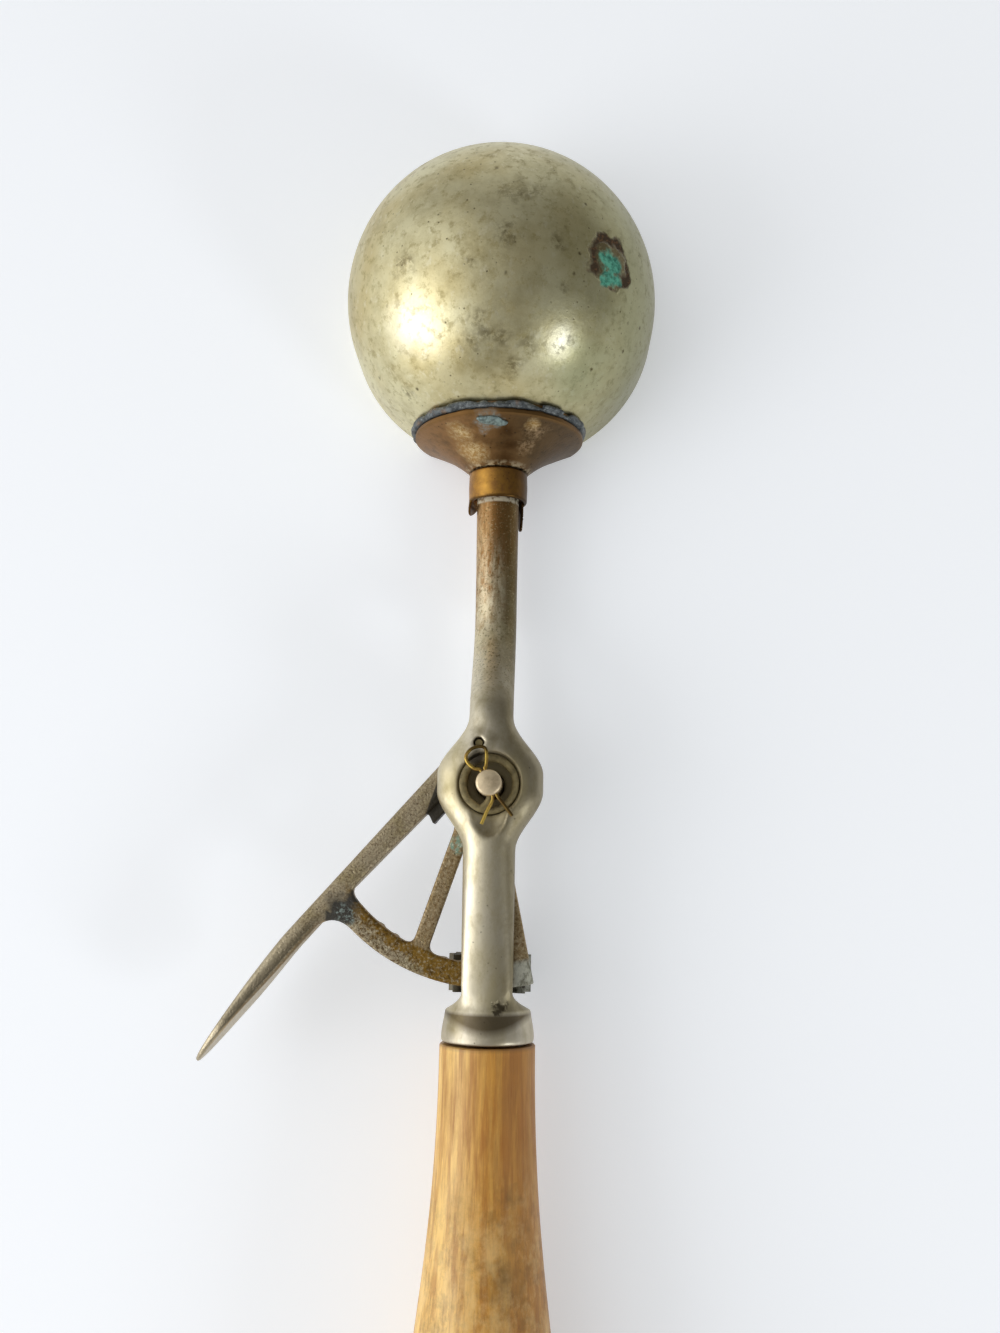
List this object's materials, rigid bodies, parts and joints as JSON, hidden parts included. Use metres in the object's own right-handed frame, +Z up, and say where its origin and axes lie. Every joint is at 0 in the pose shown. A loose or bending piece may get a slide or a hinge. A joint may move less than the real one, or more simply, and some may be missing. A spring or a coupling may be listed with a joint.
{
  "type": "ice cream scoop",
  "caption": "Hand ice cream scoop with a round bowl, a sprung thumb lever whose toothed sector turns a scraper blade in the bowl through a pinion and rod, and a turned wooden handle.",
  "frame": {"origin": "bottom centre of the bounding box, in the plane that the bowl's rim and the handle's belly rest on", "axes": "+Y along the drive rod toward the bowl, +Z up along the lever's pivot, +X away from the lever's side"},
  "size_m": [0.077, 0.2732, 0.036],
  "materials": {
    "nickel": "worn nickel plate on spun brass",
    "worn_nickel": "worn nickel plate on cast brass",
    "brass": "polished, aged",
    "brown_brass": "bare brass, browned",
    "pitted_brass": "worn plate, pitted",
    "dark_steel": "blackened with age",
    "bright_steel": "satin",
    "solder": "dull grey soft solder",
    "wood": "worn oiled hardwood"
  },
  "bodies": {
    "frame": {"bowl": "nickel", "saddle": "brown_brass", "solder_bead": "solder", "collar": "brass", "shank_frame": "worn_nickel", "toe_rivet": "nickel", "handle": "wood", "tang": "dark_steel", "butt_washer": "brass", "return_spring": "dark_steel"},
    "lever": {"thumb_lever": "pitted_brass", "pivot_pin": "bright_steel", "pivot_washer": "brass", "cotter_pin": "brass"},
    "scraper": {"drive_rod": "bright_steel", "pinion": "dark_steel", "pinion_pin": "dark_steel", "thrust_washer": "brass", "scraper_blade": "nickel", "heel_burr": "nickel"}
  },
  "joints": [
    {"name": "lever_hinge", "type": "hinge", "parent": "frame", "child": "lever", "pos_m": [0.00999, 0.01707, 0.0159], "axis": [0, 0, 1], "range_deg": [0, 34.84], "stiffness_Nm_per_rad": 0.3, "springref_deg": -28.65, "deforming": ["return_spring"]},
    {"name": "scraper_turn", "type": "hinge", "parent": "frame", "child": "scraper", "pos_m": [0.00999, 0.10718, 0.0075], "axis": [0, 1, 0], "range_deg": [0, 180.5]}
  ],
  "couplings": [
    {"joint": "scraper_turn", "follows": "lever_hinge", "ratio": 5.1667}
  ]
}
